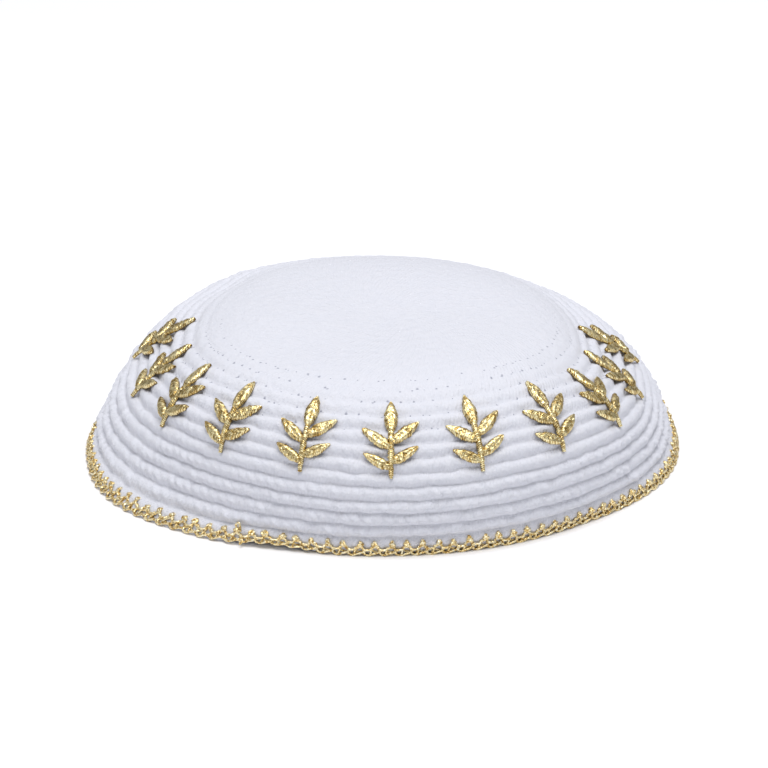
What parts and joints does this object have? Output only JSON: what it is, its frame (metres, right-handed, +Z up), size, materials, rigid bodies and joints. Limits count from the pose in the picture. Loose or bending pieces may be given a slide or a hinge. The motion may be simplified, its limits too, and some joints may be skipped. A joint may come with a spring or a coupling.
{
  "type": "kippah skullcap",
  "caption": "Soft round crocheted skullcap, a hollow ribbed cotton shell lying on a pierced gold crochet edging, with gold stitched sprigs on its side.",
  "frame": {"origin": "on the surface under the middle of the cap's overall length and width, at the underside of the gold edging", "axes": "+Z up through the crown, -Y towards the front that the picture shows, +X to the right seen from that front"},
  "size_m": [0.1878, 0.164, 0.0483],
  "materials": {
    "white_cotton": "matte crocheted cotton yarn",
    "gold_edging_yarn": "metallic gold crochet yarn",
    "gold_embroidery": "padded satin stitch in metallic gold thread"
  },
  "bodies": {
    "root": {"crown_shell": "white_cotton", "gold_edging": "gold_edging_yarn", "sprig_01": "gold_embroidery", "sprig_02": "gold_embroidery", "sprig_03": "gold_embroidery", "sprig_04": "gold_embroidery", "sprig_05": "gold_embroidery", "sprig_06": "gold_embroidery", "sprig_07": "gold_embroidery", "sprig_08": "gold_embroidery", "sprig_09": "gold_embroidery", "sprig_10": "gold_embroidery", "sprig_11": "gold_embroidery"}
  },
  "joints": []
}
